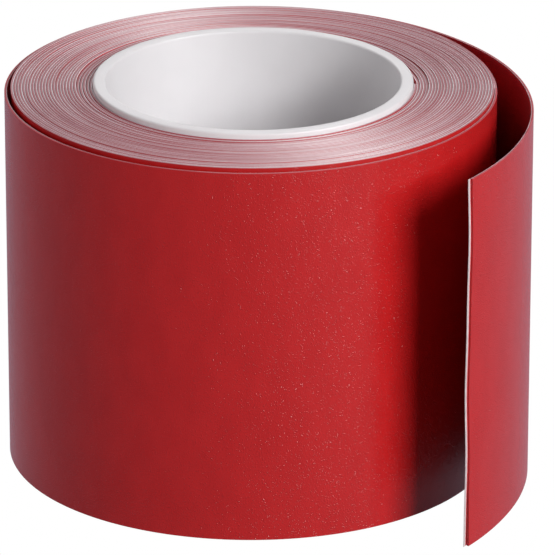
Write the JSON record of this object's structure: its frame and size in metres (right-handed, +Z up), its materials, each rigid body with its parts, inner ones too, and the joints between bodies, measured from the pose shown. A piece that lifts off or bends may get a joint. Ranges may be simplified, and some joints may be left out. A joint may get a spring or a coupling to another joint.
{
  "type": "roll of sign vinyl",
  "caption": "Roll of red self-adhesive vinyl web on a white plastic core, standing on end, with a loose last turn and a springy free end that bends.",
  "frame": {"origin": "on the core's axis, in the plane that the roll stands on", "axes": "+Z up along the core's axis; the free end hangs open on the +X side and runs round towards -Y"},
  "size_m": [0.1369, 0.1334, 0.1025],
  "materials": {
    "core_plastic": "satin, injection-moulded, rounded rims",
    "start_tape": "matt double-sided tape",
    "vinyl_film": "semi-gloss with a fine orange-peel texture",
    "adhesive": "clear, tacky",
    "release_liner": "clear film with a whitish cut edge"
  },
  "bodies": {
    "roll": {"core": "core_plastic", "start_tape": "start_tape", "wound_film": "vinyl_film", "wound_adhesive": "adhesive", "wound_liner": "release_liner", "last_turn_film": "vinyl_film", "last_turn_adhesive": "adhesive", "last_turn_liner": "release_liner"},
    "tail_1": {"tail_film_1": "vinyl_film", "tail_adhesive_1": "adhesive", "tail_liner_1": "release_liner"},
    "tail_2": {"tail_film_2": "vinyl_film", "tail_adhesive_2": "adhesive", "tail_liner_2": "release_liner"},
    "tail_3": {"tail_film_3": "vinyl_film", "tail_adhesive_3": "adhesive", "tail_liner_3": "release_liner"},
    "tail_4": {"tail_film_4": "vinyl_film", "tail_adhesive_4": "adhesive", "tail_liner_4": "release_liner"},
    "tail_5": {"tail_film_5": "vinyl_film", "tail_adhesive_5": "adhesive", "tail_liner_5": "release_liner"},
    "tail_6": {"tail_film_6": "vinyl_film", "tail_adhesive_6": "adhesive", "tail_liner_6": "release_liner"}
  },
  "joints": [
    {"name": "tail_bend_1", "type": "hinge", "parent": "roll", "child": "tail_1", "pos_m": [0.03843, 0.05346, 0.05], "axis": [0, 0, 1], "range_deg": [-1.5, 3], "stiffness_Nm_per_rad": 1.2},
    {"name": "tail_bend_2", "type": "hinge", "parent": "tail_1", "child": "tail_2", "pos_m": [0.05475, 0.03795, 0.05], "axis": [0, 0, 1], "range_deg": [-3.2, 6.2]},
    {"name": "tail_bend_3", "type": "hinge", "parent": "tail_2", "child": "tail_3", "pos_m": [0.06594, 0.0184, 0.05], "axis": [0, 0, 1], "range_deg": [-3.95, 7.7]},
    {"name": "tail_bend_4", "type": "hinge", "parent": "tail_3", "child": "tail_4", "pos_m": [0.07138, -0.00345, 0.05], "axis": [0, 0, 1], "range_deg": [-4.7, 9.2]},
    {"name": "tail_bend_5", "type": "hinge", "parent": "tail_4", "child": "tail_5", "pos_m": [0.07102, -0.02597, 0.05], "axis": [0, 0, 1], "range_deg": [-5.45, 10.7]},
    {"name": "tail_bend_6", "type": "hinge", "parent": "tail_5", "child": "tail_6", "pos_m": [0.06519, -0.04773, 0.05], "axis": [0, 0, 1], "range_deg": [-6.2, 12.2]}
  ],
  "couplings": [
    {"joint": "tail_bend_2", "follows": "tail_bend_1", "ratio": 2},
    {"joint": "tail_bend_3", "follows": "tail_bend_1", "ratio": 2.5},
    {"joint": "tail_bend_4", "follows": "tail_bend_1", "ratio": 3},
    {"joint": "tail_bend_5", "follows": "tail_bend_1", "ratio": 3.5},
    {"joint": "tail_bend_6", "follows": "tail_bend_1", "ratio": 4}
  ]
}
